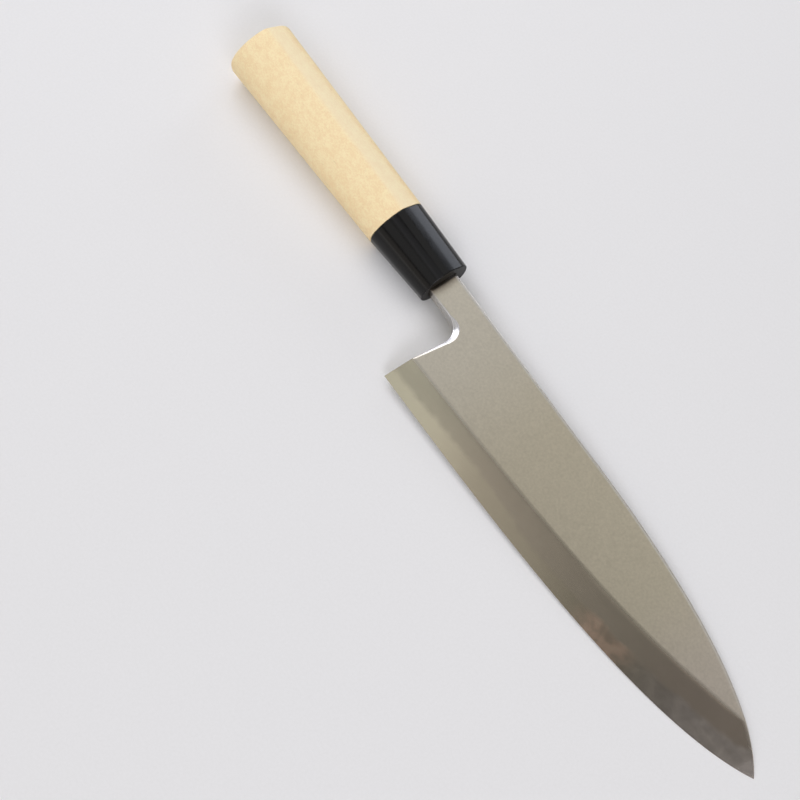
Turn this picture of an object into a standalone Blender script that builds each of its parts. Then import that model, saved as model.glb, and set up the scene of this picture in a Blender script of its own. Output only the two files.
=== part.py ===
"""Deba knife: laminated single-bevel blade, black ferrule and D-section wooden handle.

The knife is drawn in its own axes and then laid down as it settles on a table, bevel side up:
X runs from the ferrule's front face to the point, Y from the edge up to the spine, and Z out of the bevel side.
X is 0 at the ferrule's front face, Y is 0 on the spine's straight line, Z is 0 halfway through the neck.
"""
import math

import bmesh
import bpy
import numpy as np
from mathutils import Matrix, Vector

# Blade, seen from the side (metres)
NECK_LENGTH = 0.0185          # ferrule face to heel
BLADE_RUN = 0.2078            # heel to point, along the spine's straight line
BLADE_HEIGHT = 0.0486         # spine line to heel
POINT_DROP = 0.0238           # spine line to point
SPINE_STRAIGHT = 0.0850       # ferrule face to where the spine starts to curve
NECK_HEIGHT = 0.0131
CHOIL_RADIUS = 0.0080
CHOIL_LEAN = 0.12             # how far the choil leans forward, per unit of height
BEVEL_WIDTH = 0.0126          # heel to the shinogi, the ridge where the bevel starts
SHINOGI_END = 0.0172          # where the shinogi meets the spine, measured back from the point

# Slopes at both ends of each long curve, and how far its handles reach, as a share of its run
SPINE_BEND = {"slopes": (0.0, -0.876), "reach": (0.091, 0.220)}
EDGE_BEND = {"slopes": (0.02, 0.561), "reach": (0.333, 0.198)}
SHINOGI_BEND = {"slopes": (0.04, 0.243), "reach": (0.658, 0.262)}

# Blade, through its thickness
NECK_THICKNESS = 0.0070       # at the ferrule
FLAT_END_THICKNESS = 0.0024   # where the shinogi meets the spine
FLAT_TAPER = 0.0200           # thinning of the flat towards the edge, per unit of height
POINT_THICKNESS = 0.0009
POINT_BLUNTING = 0.0002
EDGE_THICKNESS = 0.0001
SPINE_CHAMFER = 0.0005
CHOIL_ROUNDING = 0.0007       # polished corner along the neck and the choil
CORNER_ROUNDING = 0.0024      # the same in the middle of the concave corner
NECK_EASING = 0.0002          # how much the neck thins where it enters the ferrule
EASING_START = 0.0005         # ferrule face to where that thinning starts

# Hollow of the back
HOLLOW_DEPTH = 0.00035
HOLLOW_SPINE_RIM = 0.0035
HOLLOW_EDGE_RIM = 0.0025
HOLLOW_HEEL_RIM = 0.0120      # heel to the start of the hollow
HOLLOW_POINT_RIM = 0.0260     # end of the hollow to the point

# Hard steel layer on the back
LAYER_START = 0.0100          # ferrule face to the layer's end in the neck
LAYER_THICKNESS = 0.0024      # at the heel
LAYER_END_THICKNESS = 0.00125 # at the point
LAYER_GAP = 0.0002            # between the two layers

# Tang
TANG_SHOULDER = 0.0010        # step from the neck to the tang, above and below
TANG_CHEEK = 0.0007           # step from the neck to the tang, on each side
TANG_TIP_HEIGHT = 0.0055
TANG_TIP_THICKNESS = 0.0034
WOOD_BEHIND_TANG = 0.0400     # tang's end to the butt

# Handle and ferrule; the D is as high as the blade is high, and as thick as the blade is thick
HANDLE_LENGTH = 0.1350        # ferrule face to butt
FERRULE_LENGTH = 0.0330
FERRULE_BELOW_NECK = 0.0041   # ferrule face, underside of the neck to the edge side
FERRULE_ABOVE_SPINE = 0.0061  # ferrule face, spine line to the spine side
FERRULE_THICKNESS = 0.0198    # at its front face
JOINT_HEIGHT = 0.0263         # where ferrule and wood meet
JOINT_THICKNESS = 0.0214
JOINT_RISE = 0.0004           # spine side of the joint above that of the ferrule face
BUTT_HEIGHT = 0.0308
BUTT_THICKNESS = 0.0244
BUTT_RISE = 0.0006            # spine side of the butt above that of the ferrule face
RIDGE_INSET = 0.0105          # spine side to the ridge of the D, at the ferrule
BUTT_RIDGE_INSET = 0.0118     # the same at the butt
FERRULE_WALL = 0.0030
FERRULE_FRONT = 0.0032        # thickness of the ferrule's front wall
BUTT_ROUNDING = 0.0018
FERRULE_ROUNDING = 0.0004

# Clearance between two pieces that seat on each other
FIT_GAP = 0.0003

# Densities for the balance point, kg per cubic metre
STEEL_DENSITY = 7850.0
WOOD_DENSITY = 500.0
PLASTIC_DENSITY = 1200.0

POINT_X = NECK_LENGTH + BLADE_RUN
FLAT_END_X = POINT_X - SHINOGI_END
SEAT_X = -FERRULE_FRONT
JOINT_X = -FERRULE_LENGTH
BUTT_X = -HANDLE_LENGTH
TANG_END_X = BUTT_X + WOOD_BEHIND_TANG
BACK_Z = -NECK_THICKNESS / 2


def clear_scene():
    for thing in list(bpy.data.objects):
        bpy.data.objects.remove(thing)


def cubic(start, end, slopes, reach, count=160):
    """Points of a cubic curve from start to end with the given end slopes."""
    run = end[0] - start[0]
    first = (start[0] + reach[0] * run, start[1] + reach[0] * run * slopes[0])
    second = (end[0] - reach[1] * run, end[1] - reach[1] * run * slopes[1])
    t = np.linspace(0.0, 1.0, count)[:, None]
    corners = [np.array(corner) for corner in (start, first, second, end)]
    weights = [(1 - t) ** 3, 3 * t * (1 - t) ** 2, 3 * t ** 2 * (1 - t), t ** 3]
    return sum(weight * corner for weight, corner in zip(weights, corners))


def height_at(curve, x):
    return float(np.interp(x, curve[:, 0], curve[:, 1]))


SPINE = cubic((SPINE_STRAIGHT, 0.0), (POINT_X, -POINT_DROP), **SPINE_BEND)
EDGE = cubic((NECK_LENGTH, -BLADE_HEIGHT), (POINT_X, -POINT_DROP), **EDGE_BEND)
FLAT_END_Y = height_at(SPINE, FLAT_END_X)
SHINOGI = cubic((NECK_LENGTH, BEVEL_WIDTH - BLADE_HEIGHT), (FLAT_END_X, FLAT_END_Y), **SHINOGI_BEND)


def flat_height(x, y):
    """Z of the flat: one plane that thins towards the point and towards the edge."""
    fall = NECK_THICKNESS + FLAT_TAPER * FLAT_END_Y - FLAT_END_THICKNESS
    return BACK_Z + NECK_THICKNESS + FLAT_TAPER * y - fall * x / FLAT_END_X


def top_height(x, y):
    """Z of the bevel side at the spine, past the flat's end too, where it runs down to the point."""
    if x <= FLAT_END_X:
        return flat_height(x, y)
    share = (x - FLAT_END_X) / SHINOGI_END
    return BACK_Z + FLAT_END_THICKNESS + share * (POINT_THICKNESS - FLAT_END_THICKNESS)


def layer_height(x):
    """Z of the top of the hard steel layer."""
    share = (x - NECK_LENGTH) / BLADE_RUN
    return BACK_Z + LAYER_THICKNESS + share * (LAYER_END_THICKNESS - LAYER_THICKNESS)


def hollow_depth(x, share):
    """Depth of the back's hollow; share runs from -1 to 1 across it."""
    start = NECK_LENGTH + HOLLOW_HEEL_RIM
    end = POINT_X - HOLLOW_POINT_RIM
    along = (2 * x - start - end) / (end - start)
    if abs(along) >= 1:
        return 0.0
    return HOLLOW_DEPTH * math.sqrt(1 - along ** 2) * (1 - share ** 2)


def blade_section(x, bevel_steps=4, hollow_points=7):
    """Closed outline of the blade at x: up the bevel and the flat, over the spine, back along the hollow."""
    spine_y = height_at(SPINE, x)
    edge_y = height_at(EDGE, x)
    height = spine_y - edge_y
    chamfer = min(SPINE_CHAMFER, height / 3, (top_height(x, spine_y) - BACK_Z) / 3)
    top_y = spine_y - chamfer
    top_z = top_height(x, top_y)
    if x < EASING_START:
        top_z -= NECK_EASING
    shinogi_y = min(height_at(SHINOGI, x), top_y - min(SPINE_CHAMFER, height / 4))
    edge_z = BACK_Z + EDGE_THICKNESS
    shinogi_z = top_z - FLAT_TAPER * (top_y - shinogi_y)
    if x > FLAT_END_X:
        shinogi_z = edge_z + (top_z - edge_z) * (shinogi_y - edge_y) / (top_y - edge_y)
    outline = []
    for step in range(bevel_steps):
        share = step / bevel_steps
        outline.append((edge_y + share * (shinogi_y - edge_y), edge_z + share * (shinogi_z - edge_z)))
    outline += [(shinogi_y, shinogi_z), (top_y, top_z), (spine_y, top_z - chamfer),
                (spine_y, BACK_Z + chamfer), (top_y, BACK_Z)]
    rim = height / 8
    hollow_top = spine_y - max(min(HOLLOW_SPINE_RIM, 2 * rim), chamfer + rim)
    hollow_low = edge_y + min(HOLLOW_EDGE_RIM, rim)
    for step in range(hollow_points):
        share = 1 - 2 * step / (hollow_points - 1)
        y = (hollow_top + hollow_low) / 2 + share * (hollow_top - hollow_low) / 2
        outline.append((y, BACK_Z + hollow_depth(x, share)))
    outline.append((edge_y, BACK_Z))
    return [(x, y, z) for y, z in outline]


def blade_stations(body_count=44, point_count=10):
    """Places of the blade's sections: even along the blade, closer at the point."""
    body = np.linspace(NECK_LENGTH, FLAT_END_X, body_count)
    reach = SHINOGI_END - POINT_BLUNTING
    point = FLAT_END_X + reach * (1 - np.linspace(1.0, 0.0, point_count) ** 1.5)
    return [SEAT_X, EASING_START, *body, *point[1:]]


def loft(name, rings):
    """Solid through a list of rings with equal counts, closed at both ends."""
    shape = bmesh.new()
    loops = [[shape.verts.new(point) for point in ring] for ring in rings]
    for near, far in zip(loops, loops[1:]):
        for a in range(len(near)):
            b = (a + 1) % len(near)
            shape.faces.new((near[a], near[b], far[b], far[a]))
    sides = list(shape.faces)
    shape.faces.new(reversed(loops[0]))
    shape.faces.new(loops[-1])
    bmesh.ops.triangulate(shape, faces=sides)
    bmesh.ops.recalc_face_normals(shape, faces=shape.faces)
    mesh = bpy.data.meshes.new(name)
    shape.to_mesh(mesh)
    shape.free()
    solid = bpy.data.objects.new(name, mesh)
    bpy.context.scene.collection.objects.link(solid)
    return solid


def combine(solid, tool, operation):
    """Boolean of solid with tool, applied; the tool is removed."""
    modifier = solid.modifiers.new(tool.name, "BOOLEAN")
    modifier.operation = operation
    modifier.object = tool
    modifier.solver = "EXACT"
    bpy.context.view_layer.update()
    depsgraph = bpy.context.evaluated_depsgraph_get()
    mesh = bpy.data.meshes.new_from_object(solid.evaluated_get(depsgraph))
    solid.modifiers.clear()
    solid.data = mesh
    bpy.data.objects.remove(tool)


def notch_ring(growth, depth, arc_points=14):
    """Outline of the space behind the heel, grown by a share of the rounding, a depth below the flat."""
    lean = math.atan(CHOIL_LEAN)
    up = Vector((math.sin(lean), math.cos(lean)))
    ahead = Vector((math.cos(lean), -math.sin(lean)))
    heel = Vector((NECK_LENGTH, -BLADE_HEIGHT))
    # the arc touches the neck's underside and the choil, so its centre is one radius from both
    centre = heel - CHOIL_RADIUS * ahead
    centre += (-NECK_HEIGHT - CHOIL_RADIUS - centre.y) / up.y * up
    start = Vector((2 * SEAT_X, -NECK_HEIGHT + growth * CHOIL_ROUNDING))
    foot = heel + growth * CHOIL_ROUNDING * ahead - CHOIL_RADIUS * up
    points = [start]
    for step in range(arc_points + 1):
        share = step / arc_points
        angle = math.pi / 2 - share * (math.pi / 2 + lean)
        rounding = CHOIL_ROUNDING + (CORNER_ROUNDING - CHOIL_ROUNDING) * math.sin(math.pi * share) ** 2
        points.append(centre + (CHOIL_RADIUS + growth * rounding) * Vector((math.cos(angle), math.sin(angle))))
    points += [foot, Vector((start.x, foot.y))]
    return [(point.x, point.y, flat_height(point.x, point.y) - depth) for point in points]


def notch_tool(steps=4):
    """Cutter for the notch; its top flares out over a quarter round, which rounds the corner it leaves."""
    rings = [notch_ring(0.0, 2 * NECK_THICKNESS)]
    for step in range(steps + 1):
        angle = math.pi / 2 * step / steps
        rings.append(notch_ring(1 - math.cos(angle), 1.5 * CHOIL_ROUNDING * (1 - math.sin(angle))))
    rings.append(notch_ring(1.0, -NECK_THICKNESS))
    return loft("notch_tool", rings)


def tang_ring(x, height, thickness, gap):
    """Rectangle of the tang at x, grown all round by gap."""
    middle = -NECK_HEIGHT / 2
    corners = ((-1, -1), (1, -1), (1, 1), (-1, 1))
    return [(x, middle + side * (height / 2 + gap), face * (thickness / 2 + gap)) for side, face in corners]


def tang_form(name, start, gap=0.0):
    """Tapered tang from start, ahead of its shoulder, to its end; gap grows it into the tool for its bore."""
    root_height = NECK_HEIGHT - 2 * TANG_SHOULDER
    root_thickness = NECK_THICKNESS - 2 * TANG_CHEEK
    return loft(name, [tang_ring(start, root_height, root_thickness, gap),
                       tang_ring(SEAT_X, root_height, root_thickness, gap),
                       tang_ring(TANG_END_X - gap, TANG_TIP_HEIGHT, TANG_TIP_THICKNESS, gap)])


def layer_tool(gap):
    """Slab that holds the hard steel layer; gap grows it for the room it takes out of the soft iron."""
    start = LAYER_START - gap
    end = POINT_X + NECK_THICKNESS
    low = BACK_Z - NECK_THICKNESS
    profile = [(start, low), (end, low), (end, layer_height(end) + gap), (start, layer_height(start) + gap)]
    sides = (-BLADE_HEIGHT - NECK_THICKNESS, NECK_THICKNESS)
    return loft("layer_tool", [[(x, side, z) for x, z in profile] for side in sides])


def make_blank(name):
    """The whole blade and neck, before its two layers are parted."""
    blank = loft(name, [blade_section(x) for x in blade_stations()])
    combine(blank, notch_tool(), "DIFFERENCE")
    return blank


def make_soft_iron_body():
    body = make_blank("soft_iron_body")
    combine(body, layer_tool(LAYER_GAP), "DIFFERENCE")
    combine(body, tang_form("tang_tool", LAYER_START / 2), "UNION")
    paint(body, soft_iron())
    return body


def make_hard_steel_edge():
    layer = make_blank("hard_steel_edge")
    combine(layer, layer_tool(0.0), "INTERSECT")
    paint(layer, hard_steel())
    return layer


def handle_outline(x):
    """Edge side, ridge, spine side and half thickness of the handle and ferrule at x."""
    front_height = FERRULE_BELOW_NECK + NECK_HEIGHT + FERRULE_ABOVE_SPINE
    places = (BUTT_X, JOINT_X, 0.0)
    height = float(np.interp(x, places, (BUTT_HEIGHT, JOINT_HEIGHT, front_height)))
    thickness = float(np.interp(x, places, (BUTT_THICKNESS, JOINT_THICKNESS, FERRULE_THICKNESS)))
    spine_side = FERRULE_ABOVE_SPINE + float(np.interp(x, places, (BUTT_RISE, JOINT_RISE, 0.0)))
    ridge = spine_side - float(np.interp(x, places, (BUTT_RIDGE_INSET, RIDGE_INSET, RIDGE_INSET)))
    return spine_side - height, ridge, spine_side, thickness / 2


def quarter(count, power):
    """Points of a superellipse quarter from (1, 0) to (0, 1), without the last."""
    angles = [math.pi / 2 * step / count for step in range(count)]
    return [(math.cos(angle) ** (2 / power), math.sin(angle) ** (2 / power)) for angle in angles]


def facet_side(round_count=8, facet_count=3):
    """Spine side of the D's upper half, from (1, 0) to (0, 1): a tight round, then a nearly flat facet."""
    round_end = (0.61, 0.70)
    round_pull = (1.0, 0.50)
    points = []
    for step in range(round_count):
        t = step / round_count
        u = (1 - t) ** 2 + 2 * t * (1 - t) * round_pull[0] + t ** 2 * round_end[0]
        w = 2 * t * (1 - t) * round_pull[1] + t ** 2 * round_end[1]
        points.append((u, w))
    for step in range(facet_count):
        share = step / facet_count
        bulge = 0.03 * math.sin(math.pi * share)
        points.append((round_end[0] * (1 - share), round_end[1] + (1 - round_end[1]) * share + bulge))
    return points


def handle_ring(x, inset=0.0, drawn_at=None):
    """D-section ring at x, drawn in all round by inset; drawn_at takes the outline of another place."""
    edge_side, ridge, spine_side, half = handle_outline(x if drawn_at is None else drawn_at)
    edge_side, spine_side, half = edge_side + inset, spine_side - inset, half - inset
    middle = (edge_side + spine_side) / 2
    width = (spine_side - edge_side) / 2
    upper_spine = [(ridge + u * (spine_side - ridge), w * half) for u, w in facet_side()]
    upper_edge = [(ridge - u * (ridge - edge_side), w * half) for u, w in reversed(quarter(12, 1.85)[1:])]
    lower_edge = [(middle - u * width, -w * half) for u, w in quarter(10, 2.6)]
    lower_spine = [(middle + u * width, -w * half) for u, w in reversed(quarter(10, 2.6)[1:])]
    ring = [*upper_spine, (ridge, half), *upper_edge, *lower_edge, (middle, -half), *lower_spine]
    return [(x, y, z) for y, z in ring]


def rounded_end(x, radius, inwards, steps=3):
    """Rings of a quarter round at the end x of the handle or ferrule; inwards is the way into the piece."""
    rings = []
    for step in range(steps + 1):
        angle = math.pi / 2 * step / steps
        place = x + inwards * radius * (1 - math.cos(angle))
        rings.append(handle_ring(place, radius * (1 - math.sin(angle)), x))
    return rings


def make_handle():
    shoulder = JOINT_X - FIT_GAP
    tenon_end = SEAT_X - FIT_GAP
    tenon_inset = FERRULE_WALL + FIT_GAP
    rings = rounded_end(BUTT_X, BUTT_ROUNDING, 1)
    rings += [handle_ring(shoulder), handle_ring(shoulder, tenon_inset), handle_ring(tenon_end, tenon_inset)]
    handle = loft("handle", rings)
    combine(handle, tang_form("bore_tool", 0.0, FIT_GAP), "DIFFERENCE")
    paint(handle, ho_wood())
    return handle


def cavity_tool():
    """Room for the handle's tenon inside the ferrule."""
    rings = [handle_ring(2 * JOINT_X, FERRULE_WALL, JOINT_X), handle_ring(JOINT_X, FERRULE_WALL),
             handle_ring(SEAT_X, FERRULE_WALL)]
    return loft("cavity_tool", rings)


def slot_tool():
    """Opening in the ferrule's front wall for the neck, with the fit's clearance all round."""
    low = -NECK_HEIGHT - FIT_GAP
    back = BACK_Z - FIT_GAP
    front = BACK_Z + NECK_THICKNESS + FIT_GAP
    corners = ((low, back), (FIT_GAP, back), (FIT_GAP, front), (low, front))
    return loft("slot_tool", [[(x, y, z) for y, z in corners] for x in (2 * SEAT_X, FERRULE_FRONT)])


def make_ferrule():
    ferrule = loft("ferrule", [handle_ring(JOINT_X), *reversed(rounded_end(0.0, FERRULE_ROUNDING, -1))])
    combine(ferrule, cavity_tool(), "DIFFERENCE")
    combine(ferrule, slot_tool(), "DIFFERENCE")
    paint(ferrule, black_plastic())
    return ferrule


def material(name, colour, roughness, metallic):
    made = bpy.data.materials.new(name)
    made.use_nodes = True
    shader = made.node_tree.nodes["Principled BSDF"]
    shader.inputs["Base Color"].default_value = (*colour, 1.0)
    shader.inputs["Roughness"].default_value = roughness
    shader.inputs["Metallic"].default_value = metallic
    return made


def soft_iron():
    return material("soft_iron", (0.36, 0.34, 0.30), 0.36, 1.0)


def hard_steel():
    return material("hard_steel", (0.45, 0.43, 0.40), 0.22, 1.0)


def ho_wood():
    return material("ho_wood", (0.76, 0.62, 0.38), 0.62, 0.0)


def black_plastic():
    return material("black_plastic", (0.012, 0.012, 0.011), 0.18, 0.0)


def paint(solid, made):
    """Gives the solid its material, smooth over its rounds and sharp at its corners."""
    solid.data.materials.clear()
    solid.data.materials.append(made)
    solid.data.shade_smooth()
    solid.data.set_sharp_from_angle(angle=math.radians(21))


def volume_and_centre(solid):
    """Volume and centre of a closed mesh, from the tetrahedra that its triangles make with the origin."""
    solid.data.calc_loop_triangles()
    volume = 0.0
    moment = Vector()
    for triangle in solid.data.loop_triangles:
        a, b, c = (solid.data.vertices[index].co for index in triangle.vertices)
        part = a.dot(b.cross(c)) / 6
        volume += part
        moment += part * (a + b + c) / 4
    return volume, moment / volume


def balance_point(solids):
    mass = 0.0
    moment = Vector()
    for solid, density in solids:
        volume, centre = volume_and_centre(solid)
        mass += volume * density
        moment += volume * density * centre
    return moment / mass


def resting_matrix(solids):
    """Placement that lays the knife on the ground, back down, with its balance point as low as it gets."""
    points = [vertex.co.copy() for solid, _ in solids for vertex in solid.data.vertices]
    centre = balance_point(solids)
    hull = bmesh.new()
    for point in points:
        hull.verts.new(point)
    bmesh.ops.convex_hull(hull, input=hull.verts)
    hull.normal_update()
    downward = np.array([face.normal for face in hull.faces if face.normal.z < -0.8])
    hull.free()
    # the balance point's height over the ground, for each face of the hull that the knife could lie on
    heights = (downward @ (np.array(points) - np.array(centre)).T).max(axis=1)
    up = -Vector(downward[heights.argmin()])
    ahead = Vector((1.0, 0.0, 0.0))
    ahead = (ahead - ahead.dot(up) * up).normalized()
    turn = Matrix((ahead, up.cross(ahead), up)).to_4x4()
    placed = [turn @ point for point in points]
    low = Vector([min(point[axis] for point in placed) for axis in range(3)])
    high = Vector([max(point[axis] for point in placed) for axis in range(3)])
    return Matrix.Translation((-(low.x + high.x) / 2, -(low.y + high.y) / 2, -low.z)) @ turn


def build_knife():
    clear_scene()
    body = make_soft_iron_body()
    layer = make_hard_steel_edge()
    handle = make_handle()
    ferrule = make_ferrule()
    solids = [(body, STEEL_DENSITY), (layer, STEEL_DENSITY), (handle, WOOD_DENSITY), (ferrule, PLASTIC_DENSITY)]
    knife = bpy.data.objects.new("knife", None)
    bpy.context.scene.collection.objects.link(knife)
    knife.matrix_world = resting_matrix(solids)
    for solid, _ in solids:
        solid.parent = knife


build_knife()
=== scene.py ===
import math

import bmesh
import bpy
import numpy as np
from mathutils import Euler, Matrix, Quaternion, Vector


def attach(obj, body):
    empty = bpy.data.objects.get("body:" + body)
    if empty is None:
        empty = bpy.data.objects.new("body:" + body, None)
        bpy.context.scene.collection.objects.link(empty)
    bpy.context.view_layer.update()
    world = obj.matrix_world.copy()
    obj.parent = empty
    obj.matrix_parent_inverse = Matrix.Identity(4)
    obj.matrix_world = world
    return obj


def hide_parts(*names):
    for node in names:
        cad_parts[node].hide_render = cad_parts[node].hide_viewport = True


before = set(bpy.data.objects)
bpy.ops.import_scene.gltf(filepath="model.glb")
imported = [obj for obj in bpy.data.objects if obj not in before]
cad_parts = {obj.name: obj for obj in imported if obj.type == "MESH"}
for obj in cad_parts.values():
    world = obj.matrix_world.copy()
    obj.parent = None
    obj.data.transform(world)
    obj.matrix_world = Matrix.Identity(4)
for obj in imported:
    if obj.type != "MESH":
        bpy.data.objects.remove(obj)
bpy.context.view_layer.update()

# The knife is modelled in its own axes, in metres, and then laid down as it rests on a table.
# x runs from the ferrule's front face to the point, y from the edge up to the spine, z out of the bevel side.
rest = {"place": (-0.045358, 0.020795, 0.010377), "turn": (3.4456, 1.3694, 0.0)}   # degrees
restTurn = Euler([math.radians(angle) for angle in rest["turn"]])
restMatrix = Matrix.Translation(rest["place"]) @ restTurn.to_matrix().to_4x4()


def srgb(hexColour):
    # sRGB hex to the linear colour that the shader wants
    parts = [int(hexColour[i:i + 2], 16) / 255 for i in (1, 3, 5)]
    return tuple(p / 12.92 if p <= 0.04045 else ((p + 0.055) / 1.055) ** 2.4 for p in parts) + (1.0,)


def addNode(tree, kind, settings=None, inputs=None):
    # one node with its settings and links; an input takes a value, an output, or a node, which stands for the
    # first of its outputs that is in use
    node = tree.nodes.new(kind)
    for name, value in (settings or {}).items():
        setattr(node, name, value)
    for name, value in (inputs or {}).items():
        if isinstance(value, bpy.types.Node):
            value = next(output for output in value.outputs if output.enabled)
        if isinstance(value, bpy.types.NodeSocket):
            tree.links.new(value, node.inputs[name])
        else:
            node.inputs[name].default_value = value
    return node


def newMaterial(name):
    made = bpy.data.materials.new(name)
    made.use_nodes = True
    return made, made.node_tree, made.node_tree.nodes["Principled BSDF"]


smoothStep = {"interpolation_type": "SMOOTHSTEP"}
colourMix = {"data_type": "RGBA"}       # its factor is input 0, its colours are inputs 6 and 7


def pick(piece):
    bpy.ops.object.select_all(action="DESELECT")
    piece.select_set(True)
    bpy.context.view_layer.objects.active = piece


def selectWhere(piece, kind, test):
    # in edit mode: deselects everything, then selects the vertices, edges or faces that pass the test
    bpy.ops.mesh.select_all(action="DESELECT")
    bpy.context.tool_settings.mesh_select_mode = tuple(kind == k for k in ("verts", "edges", "faces"))
    mesh = bmesh.from_edit_mesh(piece.data)
    for element in getattr(mesh, kind):
        if test(element):
            element.select_set(True)
    mesh.select_flush_mode()
    bmesh.update_edit_mesh(piece.data)


def sweep(name, sections):
    # a filled ring with as many vertices as the sections have is extruded from section to section
    bpy.ops.object.select_all(action="DESELECT")
    bpy.ops.mesh.primitive_circle_add(vertices=len(sections[0]), radius=0.01, fill_type="NGON")
    piece = bpy.context.object
    piece.name = piece.data.name = name
    bpy.ops.object.mode_set(mode="EDIT")
    mesh = bmesh.from_edit_mesh(piece.data)
    seat = mesh.verts.layers.int.new("seat")     # which point of the section a vertex sits on
    for vertex in mesh.verts:
        vertex[seat] = vertex.index
        vertex.co = sections[0][vertex.index]
    bmesh.update_edit_mesh(piece.data)
    for section in sections[1:]:
        bpy.ops.mesh.extrude_region_move()
        mesh = bmesh.from_edit_mesh(piece.data)
        seat = mesh.verts.layers.int["seat"]
        for vertex in mesh.verts:
            if vertex.select:
                vertex.co = section[vertex[seat]]
        bmesh.update_edit_mesh(piece.data)
    bpy.ops.mesh.select_all(action="SELECT")
    bpy.ops.mesh.normals_make_consistent(inside=False)
    bpy.ops.object.mode_set(mode="OBJECT")
    piece.data.attributes.remove(piece.data.attributes["seat"])
    return piece


def cutWith(piece, tool, operation, keepTool=False):
    pick(piece)
    modifier = piece.modifiers.new(tool.name, "BOOLEAN")
    modifier.operation = operation
    modifier.object = tool
    modifier.solver = "EXACT"
    bpy.ops.object.modifier_apply(modifier=modifier.name)
    if not keepTool:
        bpy.data.objects.remove(tool)
    # a cut leaves its vertices in another order each time, and merging them later would follow that order
    bpy.ops.object.mode_set(mode="EDIT")
    bpy.ops.mesh.select_all(action="SELECT")
    bpy.ops.mesh.sort_elements(type="CURSOR_DISTANCE", elements={"VERT", "EDGE", "FACE"})
    bpy.ops.object.mode_set(mode="OBJECT")


def finish(piece, material, node):
    # smooth over the rounds, laid down at its place, then handed to the frame
    pick(piece)
    weighted = piece.modifiers.new("evenShading", "WEIGHTED_NORMAL")
    weighted.keep_sharp = True
    bpy.ops.object.modifier_apply(modifier=weighted.name)
    piece.matrix_world = restMatrix
    bpy.ops.object.transform_apply(location=True, rotation=True, scale=True)
    piece.data.materials.clear()
    piece.data.materials.append(material)
    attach(piece, "root")
    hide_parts(node)


blade = {
    # outline
    "neckLength": 0.0185, "neckHeight": 0.0131, "run": 0.2078, "height": 0.0486, "pointDrop": 0.0238,
    "spineStraight": 0.0850, "choilRadius": 0.0080, "choilLean": 0.12,
    "bevelWidth": 0.0126, "shinogiEnd": 0.0172,
    "spineBend": ((0.0, -0.876), (0.091, 0.220)),     # slopes at both ends, reach of the handles
    "edgeBend": ((0.02, 0.561), (0.333, 0.198)),
    "shinogiBend": ((0.04, 0.243), (0.658, 0.262)),
    "seat": -0.0032,                                  # where the neck ends inside the ferrule
    # thickness
    "neckThickness": 0.0070, "flatEndThickness": 0.0024, "flatTaper": 0.0200, "edgeThickness": 0.0001,
    "pointThickness": 0.0009,
    "pointThinning": 0.17,                            # near the point, the thickness for each metre of height
    "neckEase": 0.0002, "neckEaseLength": 0.0012,     # a little thinner where it enters the ferrule
    # rounds
    "spineRound": 0.0005, "choilRound": 0.0003, "backEase": 0.0003,
    "shinogiRound": (0.0016, 0.0010),                 # reach down the bevel, and up the flat
    # polished rims that slope off the flat, by so many degrees; the spine's narrows towards the point
    "spineRim": 0.0010, "rimSlope": 9, "rimFade": (0.198, 0.208), "rimAtPoint": 0.1,
    "neckRim": 0.0003, "choilRim": 0.0009, "cornerRim": 0.0026, "kinkRim": 0.0003,
    "rimDrop": 0.21, "rimCurl": 0.20,                 # how far the notch's rim sinks, and how much it curls
    "choilPolish": (0.006, 0.013), "spinePolish": (0.5, 0.25), "spinePolishFade": (0.15, 0.20),
    # hollow of the back
    "hollowDepth": 0.00035, "hollowSpineRim": 0.0035, "hollowEdgeRim": 0.0025,
    "hollowHeelRim": 0.0120, "hollowPointRim": 0.0260,
}
weld = {
    "start": 0.0100, "end": 0.2195,                   # past its end the whole blade is hard steel
    # the weld between soft iron and hard steel, as it comes out on the bevel (mm)
    "line": ((18, -44.0), (31, -43.5), (43, -42.7), (53, -41.9), (70, -40.5), (92, -40.3), (107, -41.6),
             (128, -39.2), (149, -35.9), (158, -35.0), (175, -32.0), (191, -27.6), (203, -24.6), (214, -21.0),
             (222, -15.0)),
}
tang = {
    "height": 0.0111, "thickness": 0.0056, "tipHeight": 0.0055, "tipThickness": 0.0034, "end": -0.0950,
    "shoulder": 0.0008, "tipRound": 0.0006,
}
cutMargin = 0.004                                     # how far a cutter stands out of what it cuts

pointX = blade["neckLength"] + blade["run"]
flatEndX = pointX - blade["shinogiEnd"]
backZ = -blade["neckThickness"] / 2


def curve(start, end, bend):
    slopes, reach = bend
    run = end[0] - start[0]
    t = np.linspace(0, 1, 400)[:, None]
    a, d = np.array(start), np.array(end)
    b = a + reach[0] * run * np.array((1, slopes[0]))
    c = d - reach[1] * run * np.array((1, slopes[1]))
    return (1 - t) ** 3 * a + 3 * t * (1 - t) ** 2 * b + 3 * t ** 2 * (1 - t) * c + t ** 3 * d


def heightAt(line, x):
    return float(np.interp(x, line[:, 0], line[:, 1]))


def ease(value, low, high):
    t = min(max((value - low) / (high - low), 0.0), 1.0)
    return t * t * (3 - 2 * t)


spineLine = curve((blade["spineStraight"], 0.0), (pointX, -blade["pointDrop"]), blade["spineBend"])
edgeLine = curve((blade["neckLength"], -blade["height"]), (pointX, -blade["pointDrop"]), blade["edgeBend"])
flatEndY = heightAt(spineLine, flatEndX)
shinogiLine = curve((blade["neckLength"], blade["bevelWidth"] - blade["height"]), (flatEndX, flatEndY),
                    blade["shinogiBend"])
weldX = np.linspace(0.0, pointX, 460)
weldY = np.interp(weldX, [x / 1000 for x, y in weld["line"]], [y / 1000 for x, y in weld["line"]])
smoothing = np.hanning(25) / np.hanning(25).sum()
weldY = np.convolve(np.pad(weldY, 12, mode="edge"), smoothing, mode="valid")
weldCurve = np.stack([weldX, weldY], axis=1)


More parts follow.
